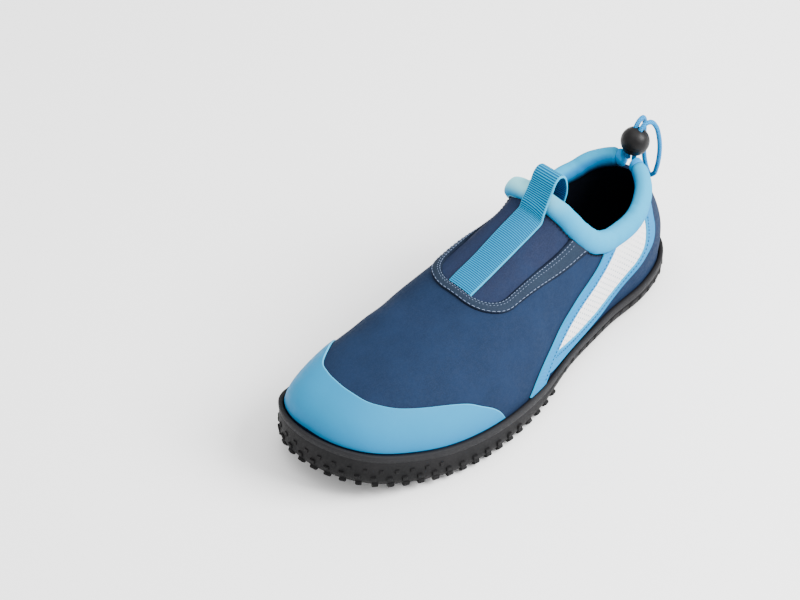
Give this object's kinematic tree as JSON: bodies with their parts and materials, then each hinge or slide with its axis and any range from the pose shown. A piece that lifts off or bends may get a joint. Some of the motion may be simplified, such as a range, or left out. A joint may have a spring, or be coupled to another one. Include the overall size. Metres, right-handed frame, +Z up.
{
  "type": "water shoe",
  "caption": "Left slip-on water shoe: hollow cloth upper with padded collar, pull loop, corded heel lock and lugged rubber cup sole.",
  "frame": {"origin": "on the floor, under the middle of the shoe's box, measured without the cord", "axes": "+X from heel to toe, +Y to the wearer's left, which is this shoe's outer side, +Z up from the floor"},
  "size_m": [0.289, 0.1078, 0.1173],
  "materials": {
    "sole_rubber": "satin",
    "footbed": "matte",
    "navy_cloth": "matte",
    "cap_film": "satin",
    "trim_tape": "matte",
    "white_mesh": "matte",
    "collar_cloth": "matte",
    "webbing": "matte",
    "lock_plastic": "satin",
    "cord": "matte"
  },
  "bodies": {
    "root": {"outsole": "sole_rubber", "insole": "footbed", "upper": "navy_cloth", "toe_cap": "cap_film", "panel_band": "navy_cloth", "trim_lateral": "trim_tape", "trim_medial": "trim_tape", "mesh_lateral": "white_mesh", "mesh_medial": "white_mesh", "collar": "collar_cloth", "pull_webbing": "webbing", "cord_lock": "lock_plastic", "drawcord": "cord"}
  },
  "joints": []
}
